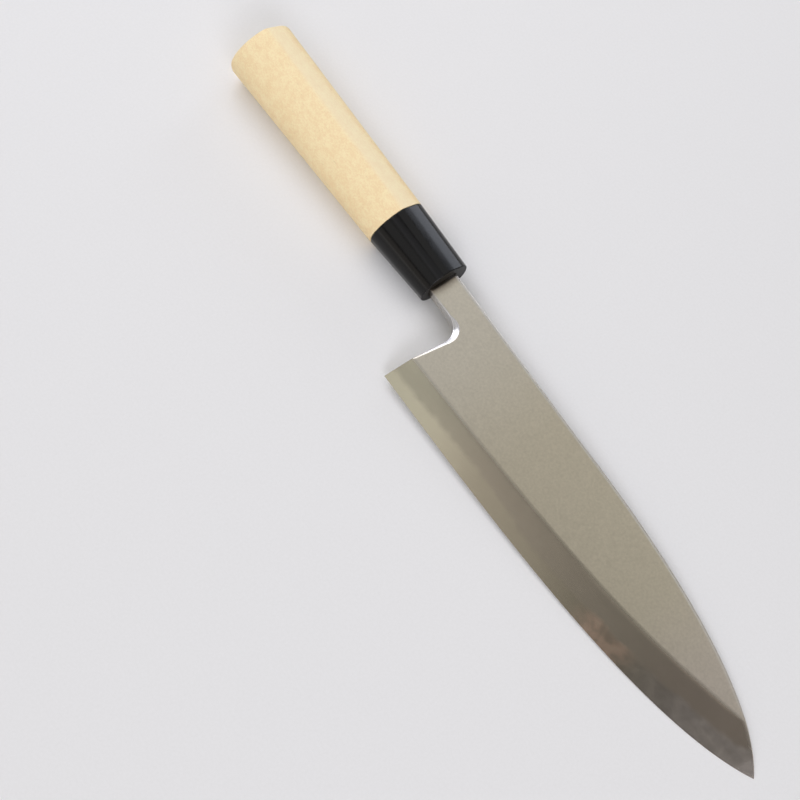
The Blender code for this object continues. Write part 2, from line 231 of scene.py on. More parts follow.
def flatHeight(x, y):
    fall = blade["neckThickness"] + blade["flatTaper"] * flatEndY - blade["flatEndThickness"]
    return backZ + blade["neckThickness"] + blade["flatTaper"] * y - fall * x / flatEndX


def topHeight(x, y):
    if x <= flatEndX:
        return flatHeight(x, y)
    share = (x - flatEndX) / blade["shinogiEnd"]
    return backZ + blade["flatEndThickness"] + share * (blade["pointThickness"] - blade["flatEndThickness"])


def hollowRims(x):
    # where the hollow starts below the spine, and ends above the edge
    spineY, edgeY = heightAt(spineLine, x), heightAt(edgeLine, x)
    rim = (spineY - edgeY) / 8
    return spineY - max(min(blade["hollowSpineRim"], 2 * rim), rim), edgeY + min(blade["hollowEdgeRim"], rim)


def hollowAt(x, y):
    # depth of the hollow ground in the back
    start = blade["neckLength"] + blade["hollowHeelRim"]
    end = pointX - blade["hollowPointRim"]
    along = (2 * x - start - end) / (end - start)
    high, low = hollowRims(x)
    across = (2 * y - high - low) / (high - low)
    if abs(along) >= 1 or abs(across) >= 1:
        return 0.0
    return blade["hollowDepth"] * math.sqrt(1 - along ** 2) * (1 - across ** 2)


def bevelMarks(x):
    # edge, shinogi and top corner of the section at x, each as (y, z), and the corner's round
    spineY, edgeY = heightAt(spineLine, x), heightAt(edgeLine, x)
    height = spineY - edgeY
    thickest = backZ + blade["edgeThickness"] + blade["pointThinning"] * height
    corner = min(blade["spineRound"], height / 3, (min(topHeight(x, spineY), thickest) - backZ) / 3)
    topY = spineY - corner
    topZ = min(topHeight(x, topY), thickest) - blade["neckEase"] * (1 - ease(x, 0.0, blade["neckEaseLength"]))
    edgeZ = backZ + blade["edgeThickness"]
    shinogiY = min(heightAt(shinogiLine, x), topY - min(corner, height / 4))
    onFlat = topZ - blade["flatTaper"] * (topY - shinogiY)
    onBevel = edgeZ + (topZ - edgeZ) * (shinogiY - edgeY) / (topY - edgeY)
    past = ease(x, flatEndX - 0.004, flatEndX + 0.004)     # the flat runs out over 8 mm
    return (edgeY, edgeZ), (shinogiY, onFlat + past * (onBevel - onFlat)), (topY, topZ), corner


def between(a, b, share):
    return tuple(p + share * (q - p) for p, q in zip(a, b))


def bladeSection(x):
    edge, shinogi, top, corner = bevelMarks(x)
    reachLow = min(blade["shinogiRound"][0] / math.dist(edge, shinogi), 0.4)
    reachHigh = min(blade["shinogiRound"][1] / math.dist(shinogi, top), 0.4)
    low, high = between(shinogi, edge, reachLow), between(shinogi, top, reachHigh)
    outline = [between(edge, low, step / 12) for step in range(12)]
    for t in (0.0, 0.15, 0.3, 0.45, 0.6, 0.75, 0.9, 1.0):
        outline.append(between(between(low, shinogi, t), between(shinogi, high, t), t))
    # a narrow polished rim slopes off towards the spine and rolls over into it
    rim = min(blade["spineRim"], (top[0] - edge[0]) / 5, (top[1] - backZ) / 2, 0.6 * math.dist(high, top))
    rim *= 1 - (1 - blade["rimAtPoint"]) * ease(x, *blade["rimFade"])
    slope = math.radians(blade["rimSlope"])
    rimStart = between(top, high, rim / math.dist(high, top))
    outline += [between(high, rimStart, step / 7) for step in range(1, 8)]
    for share in (0.1, 0.5):
        y, z = between(rimStart, top, share)
        outline.append((y, z - share * rim * math.tan(slope)))
    roll = corner / (1 - math.sin(slope))
    middle = (top[0] + corner - roll, top[1] - rim * math.tan(slope) - roll * math.cos(slope))
    for angle in (blade["rimSlope"], 28, 48, 69, 90):
        turn = math.radians(angle)
        outline.append((middle[0] + roll * math.sin(turn), middle[1] + roll * math.cos(turn)))
    for angle in (0, 30, 60, 90):
        turn = math.radians(angle)
        outline.append((top[0] + corner * math.cos(turn), backZ + corner - corner * math.sin(turn)))
    rimHigh, rimLow = hollowRims(x)
    rimHigh = min(rimHigh, top[0] - 0.0001)
    for step in range(17):
        y = rimHigh + (rimLow - rimHigh) * step / 16
        outline.append((y, backZ + hollowAt(x, y)))
    outline.append((edge[0], backZ))
    return [(x, y, z) for y, z in outline]


def notchRing(onRound, onRim, fromBack=None):
    # outline of the finger notch, grown over the round at its wall and over the polished rim beyond it
    lean = math.atan(blade["choilLean"])
    up = Vector((math.sin(lean), math.cos(lean)))
    ahead = Vector((math.cos(lean), -math.sin(lean)))
    heel = Vector((blade["neckLength"], -blade["height"]))
    centre = heel - blade["choilRadius"] * ahead
    centre += (-blade["neckHeight"] - blade["choilRadius"] - centre.y) / up.y * up
    grown = onRound * blade["choilRound"]
    points = [Vector((4 * blade["seat"], -blade["neckHeight"] + grown + onRim * blade["neckRim"]))]
    rims = [blade["neckRim"]]
    for step in range(37):
        share = step / 36
        angle = math.pi / 2 - share * (math.pi / 2 + lean)
        straight = blade["neckRim"] + (blade["choilRim"] - blade["neckRim"]) * share
        rims.append(straight + (blade["cornerRim"] - straight) * math.sin(math.pi * share) ** 1.5)
        reach = blade["choilRadius"] + grown + onRim * rims[-1]
        points.append(centre + reach * Vector((math.cos(angle), math.sin(angle))))
    for rise in (blade["bevelWidth"] / up.y, -blade["choilRadius"]):
        points.append(heel + (grown + onRim * blade["kinkRim"]) * ahead + rise * up)
    points.append(Vector((points[0].x, points[-1].y)))
    rims += [blade["kinkRim"]] * 3
    if fromBack is not None:
        return [(p.x, p.y, backZ + fromBack) for p in points]
    ring = []
    for point, rim in zip(points, rims):
        depth = rim * (blade["rimDrop"] * (1 - onRim) + blade["rimCurl"] * max(1 - onRim, 0) ** 2)
        depth += 1.2 * blade["choilRound"] * (1 - math.sqrt(1 - (1 - onRound) ** 2)) if onRound < 1 else 0.0
        ring.append((point.x, point.y, flatHeight(point.x, point.y) - depth))
    return ring


def notchCutter():
    # it flares out over the round and the rim at the flat, and a little at the back
    backShare = blade["backEase"] / blade["choilRound"]
    rings = [notchRing(0.5 * backShare, 0.0, -cutMargin)]
    for growth, height in ((0.5, 0.0), (0.3, 0.15), (0.12, 0.45), (0.0, 1.0)):
        rings.append(notchRing(growth * backShare, 0.0, height * blade["backEase"]))
    for onRound in (0.0, 0.08, 0.3, 0.6, 1.0):
        rings.append(notchRing(onRound, 0.0))
    # straight on past the rim's end, so that it leaves the flat at a clear angle
    for onRim in (0.08, 0.25, 0.45, 0.65, 0.85, 1.0, 1.15):
        rings.append(notchRing(1.0, onRim))
    rings.append([(x, y, z + cutMargin) for x, y, z in rings[-1]])
    return sweep("notchCutter", rings)


def weldHeight(x):
    # height of the weld that makes it come out of the bevel on the weld line
    x = max(x, blade["neckLength"])
    edge, shinogi, top, corner = bevelMarks(x)
    share = (heightAt(weldCurve, x) - edge[0]) / (shinogi[0] - edge[0])
    return edge[1] + share * (shinogi[1] - edge[1])


def weldSlab():
    # everything below the weld; past the weld's end it takes in the whole blade
    low, edgeSide, spineSide = backZ - cutMargin, -0.060, 0.010
    sections = []
    for x in (weld["start"], *np.linspace(blade["neckLength"], pointX + 0.002, 170)):
        top = weldHeight(min(x, pointX - 0.0008)) if x < weld["end"] else backZ + cutMargin
        sections.append([(x, edgeSide, low), (x, spineSide, low), (x, spineSide, top), (x, edgeSide, top)])
    return sweep("weldSlab", sections)


def polishAt(x, y, z):
    # how polished the rim at a place on the flat's side is; it lies a little below the flat
    sunk = ease(topHeight(x, y) - z, 0.000008, 0.000035)
    if x < blade["neckLength"] + 0.004 and y < -0.006:     # round the choil
        return sunk * ease(x, *blade["choilPolish"])
    most, fade = blade["spinePolish"]
    return sunk * (most - fade * ease(x, *blade["spinePolishFade"]))


grindMarks = ("belowShinogi", "belowWeld", "polished", "inHollow")


def readGrind(piece, isSteel):
    # where each vertex lies on the grind, for the materials: mm below the shinogi and the weld, how polished
    # its rim is, and mm down in the hollow
    for name in grindMarks:
        piece.data.attributes.new(name, "FLOAT", "POINT")
    marks = {name: piece.data.attributes[name].data for name in grindMarks}
    for index, vertex in enumerate(piece.data.vertices):
        x, y, z = vertex.co
        onBack = z < backZ + hollowAt(x, y) + 0.00004
        shinogiY = bevelMarks(max(x, 0.0))[1][0]
        # the back counts as far above the shinogi; the weld doesn't show there or on the neck
        marks["belowShinogi"][index].value = -20.0 if onBack else (shinogiY - y) * 1000
        if onBack or x < blade["neckLength"]:
            below = -8.0 + (16.0 * ease(x, weld["start"], weld["start"] + 0.008) if isSteel else 0.0)
        else:
            below = (heightAt(weldCurve, x) - y) * 1000
        marks["belowWeld"][index].value = below
        onFlat = not onBack and x < flatEndX and y > shinogiY + blade["shinogiRound"][1] + 0.0001
        marks["polished"][index].value = polishAt(x, y, z) if onFlat else 0.0
        marks["inHollow"][index].value = hollowAt(x, y) * 1000 if onBack else 0.0


def markSeam(piece, isSeam):
    # the face that the weld leaves is inside the blade, and its border stays sharp
    pick(piece)
    bpy.ops.object.mode_set(mode="EDIT")
    selectWhere(piece, "faces", isSeam)
    bpy.ops.mesh.region_to_loop()
    bpy.ops.mesh.mark_sharp()
    bpy.ops.object.mode_set(mode="OBJECT")


def isIronSeam(face):
    middle = face.calc_center_median()
    return face.normal.z < -0.5 and middle.z > backZ + 0.0006 and middle.x > weld["start"] - 1e-5


def isSteelSeam(face):
    # thin slivers of the bevel come as near to the weld, but they lean towards the edge
    middle = face.calc_center_median()
    return (face.normal.z > 0.5 and abs(face.normal.y) < 0.02 and middle.x < weld["end"]
            and abs(middle.z - weldHeight(middle.x)) < 0.00002)


print("blade: grinding the blank")
stations = [blade["seat"], -0.0008, 0.0, 0.0004, 0.0008, 0.0012]
stations += [*np.linspace(0.0024, blade["neckLength"], 12)[:-1]]
stations += [*np.linspace(blade["neckLength"], flatEndX - 0.006, 150)[:-1]]
stations += [*(pointX - 0.0002 - 0.0232 * np.linspace(1, 0, 44) ** 1.4)]     # closer together at the point
ironLayer = sweep("ironLayer", [bladeSection(x) for x in stations])
cutWith(ironLayer, notchCutter(), "DIFFERENCE")
pick(ironLayer)
bpy.ops.object.duplicate()
steelLayer = bpy.context.object
steelLayer.name = steelLayer.data.name = "steelLayer"
slab = weldSlab()
cutWith(ironLayer, slab, "DIFFERENCE", keepTool=True)
cutWith(steelLayer, slab, "INTERSECT")

print("blade: drawing out the tang")
pick(ironLayer)
bpy.ops.object.mode_set(mode="EDIT")
selectWhere(ironLayer, "faces", lambda face: all(abs(v.co.x - blade["seat"]) < 1e-5 for v in face.verts))
bpy.ops.mesh.inset(thickness=tang["shoulder"], depth=0.0)
tangReach = Vector((tang["end"] - blade["seat"], 0, 0))
tangMiddle = Vector((blade["seat"], -blade["neckHeight"] / 2, 0.0))
bpy.ops.mesh.extrude_region_move(TRANSFORM_OT_translate={"value": tangReach})
tangTaper = (1, tang["tipHeight"] / tang["height"], tang["tipThickness"] / tang["thickness"])
bpy.ops.transform.resize(value=tangTaper, center_override=tangMiddle + tangReach)
bpy.ops.mesh.bevel(offset=tang["tipRound"], segments=2, affect="EDGES")
bpy.ops.object.mode_set(mode="OBJECT")

for piece in (ironLayer, steelLayer):
    # slivers that the cuts leave would shade wrongly
    pick(piece)
    bpy.ops.object.mode_set(mode="EDIT")
    bpy.ops.mesh.select_all(action="SELECT")
    bpy.ops.mesh.remove_doubles(threshold=0.00001)
    bpy.ops.mesh.dissolve_degenerate(threshold=0.00001)
    bpy.ops.object.mode_set(mode="OBJECT")
    bpy.ops.object.shade_smooth_by_angle(angle=math.radians(24))
markSeam(ironLayer, isIronSeam)
markSeam(steelLayer, isSteelSeam)
readGrind(ironLayer, isSteel=False)
readGrind(steelLayer, isSteel=True)


# Laminated blade steel: soft iron forge-welded over hard carbon steel, ground wet and left satin.
# It gives a warm, even grey on the flat, a hazy darker iron on the bevel, and a clearer, mirror-like edge.
steel = {
    # colours in the middle of the blade, by the heel and by the point; the shifts by the heel and the point
    # are painted reflection tones
    "flat": ("#bfb6a2", "#c4bdae", "#c1b7aa"),
    "iron": ("#beb29e", "#bdb7a2", "#b5a797"),
    "hard": ("#d0c4ac", "#d6cfb7", "#cdc2b7"),
    # the tan colour paints a warm reflection on the hard steel
    "warmReflectionColour": "#f6d8be", "hollowColour": "#b9b0a1", "neckShadeColour": "#7d6f60", "rimColour": "#d6d4d3",
    "flatRoughness": 0.27, "ironRoughness": 0.24, "hollowRoughness": 0.34, "rimRoughness": 0.24,
    "grindLine": 0.00045,    # real grinding lines are under 0.1 mm; drawn this wide so that they show
    "grindStretch": 45.0,    # per metre along the blade, so that a line runs for about 20 mm
    "grindRoughness": 0.04, "grindBump": 0.06, "grindDepth": 0.00004,
    "satin": 0.0011,         # the stone's pitting on the flat is finer than this, and drawn so that it shows
    "satinTone": (0.93, 1.07),
    "cloud": 0.0060,         # patches left by the stone on the bevel
    "cloudTone": (0.98, 1.02), "frontCloudTone": (-0.12, 0.12),
    "heelToneRange": (-0.06, 0.02), "heelToneReach": 9.0,    # mm below the shinogi
    "lightBandReach": (1.9, 0.6),                          # mm below the shinogi
    "haze": 1.5,             # mm over which the weld line fades
    "wander": 3.2,           # mm that the clouds push the weld line to and fro
    # changes along the blade: start and end (m from the ferrule), and the values there
    "along": {
        "byHeel": (0.085, 0.022, 0.0, 1.0), "byPoint": (0.145, 0.195, 0.0, 1.0),
        "inFront": (0.134, 0.148, 0.0, 1.0), "warmReflectionEnd": (0.170, 0.158, 0.0, 1.0),
        # painted shade and reflection on the neck, by the ferrule
        "neckShade": (0.0052, -0.0005, 0.0, 0.9),
        "nearHeel": (0.125, 0.080, 0.0, 1.0), "offHeel": (0.018, 0.042, -1.0, 1.0),
        "lightBandEnd": (0.206, 0.198, 0.0, 0.26), "lightBand": (0.115, 0.140, 0.0, 1.0),
        "hardRoughness": (0.180, 0.198, 0.17, 0.22),
    },
}


def bladeSteel(name):
    made, tree, shader = newMaterial(name)
    coords = addNode(tree, "ShaderNodeTexCoord")
    knife = addNode(tree, "ShaderNodeMapping", {"vector_type": "TEXTURE"}, {
        "Vector": coords.outputs["Object"], "Location": rest["place"], "Rotation": tuple(restTurn)})
    lines = addNode(tree, "ShaderNodeMapping", {}, {
        "Vector": knife, "Scale": (steel["grindStretch"], 1 / steel["grindLine"], 1 / steel["grindLine"])})
    grain = addNode(tree, "ShaderNodeTexNoise", {}, {
        "Vector": lines, "Scale": 1.0, "Detail": 5.0, "Roughness": 0.62})
    cloud = addNode(tree, "ShaderNodeTexNoise", {}, {
        "Vector": knife, "Scale": 1 / steel["cloud"], "Detail": 4.0, "Roughness": 0.55})
    marks = {}
    for mark in grindMarks:
        marks[mark] = addNode(tree, "ShaderNodeAttribute", {"attribute_name": mark}).outputs["Fac"]
    along = addNode(tree, "ShaderNodeSeparateXYZ", {}, {0: knife})
    fade = {}
    for change, (start, end, first, last) in steel["along"].items():
        fade[change] = addNode(tree, "ShaderNodeMapRange", smoothStep, {
            "Value": along.outputs["X"], "From Min": start, "From Max": end, "To Min": first, "To Max": last})
    onBevel = addNode(tree, "ShaderNodeMapRange", smoothStep, {
        "Value": marks["belowShinogi"], "From Min": -0.5, "From Max": 0.9})
    # the weld line is cloudy: its distance is pushed to and fro by the clouds
    wander = addNode(tree, "ShaderNodeMath", {"operation": "MULTIPLY_ADD"}, {
        0: cloud, 1: steel["wander"], 2: marks["belowWeld"]})
    line = steel["wander"] / 2
    onHard = addNode(tree, "ShaderNodeMapRange", smoothStep, {
        "Value": wander, "From Min": line - steel["haze"], "From Max": line + steel["haze"]})
    # painted reflection tones along the blade: by the heel more neutral, towards the point the iron browner
    # and the hard steel bluer
    tones = {}
    for layer in ("flat", "iron", "hard"):
        middle, heel, point = (srgb(colour) for colour in steel[layer])
        heeled = addNode(tree, "ShaderNodeMix", colourMix, {0: fade["byHeel"], 6: middle, 7: heel})
        tones[layer] = addNode(tree, "ShaderNodeMix", colourMix, {0: fade["byPoint"], 6: heeled, 7: point})
    # painted reflection: a faint warm tan on the hard steel by the edge, in the middle of the blade, in
    # cloudy patches
    warmReflectionPatch = addNode(tree, "ShaderNodeMapRange", smoothStep, {
        "Value": cloud, "From Min": 0.42, "From Max": 0.58, "To Min": 0.5})
    warmReflection = fade["inFront"]
    for share in (fade["warmReflectionEnd"], warmReflectionPatch, onBevel):
        warmReflection = addNode(tree, "ShaderNodeMath", {"operation": "MULTIPLY"}, {0: warmReflection, 1: share})
    warmReflectedHard = addNode(tree, "ShaderNodeMix", colourMix, {
        0: warmReflection, 6: tones["hard"], 7: srgb(steel["warmReflectionColour"])})
    # the hollow of the back keeps the wheel's satin, and the rims round it are laid on the stone
    hollow = addNode(tree, "ShaderNodeMapRange", smoothStep, {
        "Value": marks["inHollow"], "From Min": 0.006, "From Max": 0.030})
    # laid over the flat: iron on the bevel, hard steel below the weld, the back's hollow, the neck, painted
    # darker and browner by the ferrule as its shade and reflection, and the bright rims along the spine and
    # round the notch
    colour = tones["flat"]
    for share, over in ((onBevel, tones["iron"]), (onHard, warmReflectedHard), (hollow, srgb(steel["hollowColour"])),
                        (fade["neckShade"], srgb(steel["neckShadeColour"])),
                        (marks["polished"], srgb(steel["rimColour"]))):
        colour = addNode(tree, "ShaderNodeMix", colourMix, {0: share, 6: colour, 7: over})
    # near the heel the iron runs from darker by the shinogi to lighter towards the weld
    heelTone = addNode(tree, "ShaderNodeMapRange", smoothStep, {
        "Value": marks["belowShinogi"], "From Min": 0.0, "From Max": steel["heelToneReach"],
        "To Min": steel["heelToneRange"][0], "To Max": steel["heelToneRange"][1]})
    for share in (fade["nearHeel"], fade["offHeel"]):
        heelTone = addNode(tree, "ShaderNodeMath", {"operation": "MULTIPLY"}, {0: heelTone, 1: share})
    cloudTone = addNode(tree, "ShaderNodeMapRange", {}, {
        "Value": cloud, "From Min": 0.3, "From Max": 0.7,
        "To Min": steel["cloudTone"][0], "To Max": steel["cloudTone"][1]})
    # in the front half the bevel is lighter just below the shinogi
    tree.links.new(fade["lightBandEnd"].outputs[0], fade["lightBand"].inputs["To Max"])
    lightBand = addNode(tree, "ShaderNodeMapRange", smoothStep, {
        "Value": marks["belowShinogi"], "From Min": steel["lightBandReach"][0], "From Max": steel["lightBandReach"][1],
        "To Max": fade["lightBand"]})
    bevelTone = cloudTone
    for more in (heelTone, lightBand):
        bevelTone = addNode(tree, "ShaderNodeMath", {"operation": "ADD"}, {0: bevelTone, 1: more})
    # and the clouds show more on the hard steel
    frontCloud = addNode(tree, "ShaderNodeMapRange", {}, {
        "Value": cloud, "From Min": 0.35, "From Max": 0.65,
        "To Min": steel["frontCloudTone"][0], "To Max": steel["frontCloudTone"][1]})
    frontHard = addNode(tree, "ShaderNodeMath", {"operation": "MULTIPLY"}, {0: fade["inFront"], 1: onHard})
    bevelTone = addNode(tree, "ShaderNodeMath", {"operation": "MULTIPLY_ADD"}, {
        0: frontCloud, 1: frontHard, 2: bevelTone})
    # the flat is pitted by a coarser stone than the bevel
    pits = addNode(tree, "ShaderNodeTexNoise", {}, {
        "Vector": knife, "Scale": 1 / steel["satin"], "Detail": 4.0, "Roughness": 0.6})
    flatTone = addNode(tree, "ShaderNodeMapRange", {}, {
        "Value": pits, "From Min": 0.3, "From Max": 0.7,
        "To Min": steel["satinTone"][0], "To Max": steel["satinTone"][1]})
    flatTone = addNode(tree, "ShaderNodeMath", {"operation": "MULTIPLY"}, {0: flatTone, 1: cloudTone})
    tone = addNode(tree, "ShaderNodeMapRange", {}, {
        "Value": onBevel, "To Min": flatTone, "To Max": bevelTone})
    toned = addNode(tree, "ShaderNodeVectorMath", {"operation": "SCALE"}, {0: colour, "Scale": tone})
    tree.links.new(toned.outputs[0], shader.inputs["Base Color"])
    rough = steel["flatRoughness"]
    for share, over in ((onBevel, steel["ironRoughness"]), (onHard, fade["hardRoughness"]),
                        (hollow, steel["hollowRoughness"]), (marks["polished"], steel["rimRoughness"])):
        rough = addNode(tree, "ShaderNodeMapRange", {}, {"Value": share, "To Min": rough, "To Max": over})
    rough = addNode(tree, "ShaderNodeMath", {"operation": "MULTIPLY_ADD"}, {
        0: grain, 1: steel["grindRoughness"], 2: rough})
    tree.links.new(rough.outputs[0], shader.inputs["Roughness"])
    bump = addNode(tree, "ShaderNodeBump", {}, {
        "Height": grain, "Strength": steel["grindBump"], "Distance": steel["grindDepth"]})
    tree.links.new(bump.outputs[0], shader.inputs["Normal"])
    shader.inputs["Metallic"].default_value = 1.0
    return made


finish(ironLayer, bladeSteel("softIronGroundSatin"), "soft_iron_body")
finish(steelLayer, bladeSteel("hardSteelStoneFinished"), "hard_steel_edge")


handle = {
    "length": 0.1350, "ferruleLength": 0.0330,
    # at the butt, at the joint with the ferrule, and at the front
    "height": (0.0308, 0.0263, 0.0233), "thickness": (0.0244, 0.0214, 0.0198),
    "spine": (0.0067, 0.0065, 0.0061),                # how far above the blade's spine the handle's reaches
    "ridgeInset": (0.0118, 0.0105, 0.0105),           # the ridge, below that
    # the D: where the spine side's round meets the facet, as shares of the ridge's inset and half thickness
    "facetStart": (0.61, 0.70), "facetCrown": 0.01,
    "edgeFullness": 1.85, "bellyFullness": 2.6,       # 2 would be round, and more is squarer
    "skin": 0.00004,                                  # the surfaces lie this far inside the solids'
    "buttRound": 0.0018, "ridgeRound": 0.0015,
    "ferruleWall": 0.0030, "ferruleFront": 0.0032, "ferruleRound": 0.0004, "ferruleRidgeRound": 0.0002,
    "jointRound": 0.00015,
    "fitGap": 0.0003, "slotGap": 0.0001, "slotLength": 0.012, "boreClearance": 0.0003,
}
jointX, buttX = -handle["ferruleLength"], -handle["length"]


def handleAt(x, measure):
    return np.interp(x, (buttX, jointX, 0.0), handle[measure])


def dSection(x, inset=handle["skin"], drawnAt=None):
    # the D: a round belly towards the edge, and a ridge with a nearly flat facet towards the spine
    at = x if drawnAt is None else drawnAt
    half, spineSide = handleAt(at, "thickness") / 2, handleAt(at, "spine")
    ridge = spineSide - handleAt(at, "ridgeInset")
    edgeSide = spineSide - handleAt(at, "height") + inset
    spineSide, half = spineSide - inset, half - inset
    middle, width = (edgeSide + spineSide) / 2, (spineSide - edgeSide) / 2
    out, up = handle["facetStart"]
    outline = []
    for step in range(14):                       # spine side: a tight round
        t = step / 14
        outline.append((ridge + ((1 - t) ** 2 + 2 * t * (1 - t) + t ** 2 * out) * (spineSide - ridge),
                        (t * (1 - t) + t ** 2 * up) * half))
    for step in range(4):                        # then the facet, up to the ridge
        t = step / 5
        rise = up + (1 - up) * t + handle["facetCrown"] * math.sin(math.pi * t)
        outline.append((ridge + out * (1 - t) * (spineSide - ridge), rise * half))
    fullness = 2 / handle["edgeFullness"]
    for step in (0, *range(3, 24)):              # ridge, and down to the edge side
        turn = math.pi / 2 * step / 24
        outline.append((ridge - math.sin(turn) ** fullness * (ridge - edgeSide),
                        math.cos(turn) ** fullness * half))
    fullness = 2 / handle["bellyFullness"]
    for step in range(40):                       # belly
        turn = math.pi * step / 40
        outline.append((middle - math.copysign(abs(math.cos(turn)) ** fullness, math.cos(turn)) * width,
                        -math.sin(turn) ** fullness * half))
    return [(x, float(y), float(z)) for y, z in outline]


def onRidge(vertex):
    x, y, z = vertex.co
    ridge = handleAt(x, "spine") - handleAt(x, "ridgeInset")
    return abs(y - ridge) < 5e-5 and abs(z - handleAt(x, "thickness") / 2) < 5e-5


def softenRidge(piece, offset):
    selectWhere(piece, "edges", lambda edge: all(onRidge(v) for v in edge.verts))
    bpy.ops.mesh.bevel(offset=offset, segments=4, affect="EDGES", clamp_overlap=False)


def softenRim(piece, x, offset, segments):
    selectWhere(piece, "edges", lambda edge: all(abs(v.co.x - x) < 1e-6 for v in edge.verts)
                and len(edge.link_faces) == 2 and any(abs(f.normal.x) < 0.5 for f in edge.link_faces))
    bpy.ops.mesh.bevel(offset=offset, segments=segments, affect="EDGES", clamp_overlap=False)


print("handle: shaping the D and its tenon")
shoulderX = jointX - handle["fitGap"]
tenonInset = handle["ferruleWall"] + handle["fitGap"]
tenonEnd = blade["seat"] - handle["fitGap"]
woodHandle = sweep("woodHandle", [dSection(buttX), dSection(shoulderX)])
bpy.ops.object.mode_set(mode="EDIT")
softenRidge(woodHandle, handle["ridgeRound"])
softenRim(woodHandle, buttX, handle["buttRound"], 6)
selectWhere(woodHandle, "faces", lambda face: face.normal.x > 0.9
            and face.calc_center_median().x > shoulderX - 1e-5)
bpy.ops.mesh.inset(thickness=tenonInset, depth=0.0)
bpy.ops.mesh.extrude_region_move(TRANSFORM_OT_translate={"value": (tenonEnd - shoulderX, 0, 0)})
# the tenon narrows as the ferrule does
taper = [(front - 2 * tenonInset) / (joint - 2 * tenonInset)
         for butt, joint, front in (handle["height"], handle["thickness"])]
bpy.ops.transform.resize(value=(1, *taper), center_override=(tenonEnd, handle["spine"][2] - tenonInset, 0))
bpy.ops.object.mode_set(mode="OBJECT")


def boreCutter():
    # the tang's shape, grown by its clearance
    gap, middle = handle["boreClearance"], -blade["neckHeight"] / 2
    sections = []
    for x, height, thickness in ((0.0, tang["height"], tang["thickness"]),
                                 (blade["seat"], tang["height"], tang["thickness"]),
                                 (tang["end"] - gap, tang["tipHeight"], tang["tipThickness"])):
        y, z = height / 2 + gap, thickness / 2 + gap
        sections.append([(x, middle - y, -z), (x, middle + y, -z), (x, middle + y, z), (x, middle - y, z)])
    return sweep("boreCutter", sections)


cutWith(woodHandle, boreCutter(), "DIFFERENCE")
pick(woodHandle)
bpy.ops.object.shade_smooth_by_angle(angle=math.radians(30))

print("ferrule: cup and slot")
blackFerrule = sweep("blackFerrule", [dSection(jointX), dSection(0.0)])
bpy.ops.object.mode_set(mode="EDIT")
softenRidge(blackFerrule, handle["ferruleRidgeRound"])
softenRim(blackFerrule, 0.0, handle["ferruleRound"], 4)
softenRim(blackFerrule, jointX, handle["jointRound"], 2)
bpy.ops.object.mode_set(mode="OBJECT")
inside = handle["ferruleWall"]
cavity = [dSection(2 * jointX, inside, jointX), dSection(jointX, inside),
          dSection(-handle["ferruleFront"], inside)]
cutWith(blackFerrule, sweep("cavityCutter", cavity), "DIFFERENCE")
bpy.ops.object.select_all(action="DESELECT")
bpy.ops.mesh.primitive_cube_add(size=1.0)
slotCutter = bpy.context.object
slotCutter.name = "slotCutter"
slotCutter.scale = (handle["slotLength"], blade["neckHeight"] + 2 * handle["slotGap"],
                    blade["neckThickness"] + 2 * handle["slotGap"])
slotCutter.location = (0.0, -blade["neckHeight"] / 2, 0.0)
bpy.ops.object.transform_apply(location=True, rotation=True, scale=True)
cutWith(blackFerrule, slotCutter, "DIFFERENCE")
pick(blackFerrule)
bpy.ops.object.shade_smooth_by_angle(angle=math.radians(30))


# Ho wood, a Japanese magnolia: turned, sanded fine and left bare.
# It gives a pale cream with a soft, close grain, hardly any pores and no shine.
ho = {
    # the facet's colour is painted light
    "paleColour": "#ffeab9", "deepColour": "#f9dca9", "poreColour": "#cfae7c", "facetLightColour": "#fff0cb",
    "grainWidth": 0.0009,    # fine streaks, about 1 mm across and 7 mm long
    "ringWidth": 0.0035,     # growth rings of 3 to 4 mm
    "mottle": 0.0028,        # cloudy patches, a little longer than wide
    "fleck": 0.0007,         # the cut fibres' fine speckle
    "shares": {"fibre": 0.08, "ring": 0.08, "mottle": 0.38, "speckle": 0.46},    # each pattern's, in the tone
    "toneRange": (0.41, 0.59), "poreRange": (0.66, 0.74), "poreDepth": 0.30,
    # the facet by the spine, from the ridge up to the spine on the bevel's side (m), and how much paler it is
    # painted, as painted light where the light falls
    "facet": (("Y", -0.0055, -0.0030), ("Y", 0.0045, 0.0010), ("Z", 0.002, 0.006)), "facetPaintedLight": 0.45,
    "roughness": (0.72, 0.58), "fibreBump": 0.25, "fibreDepth": 0.0001,
}


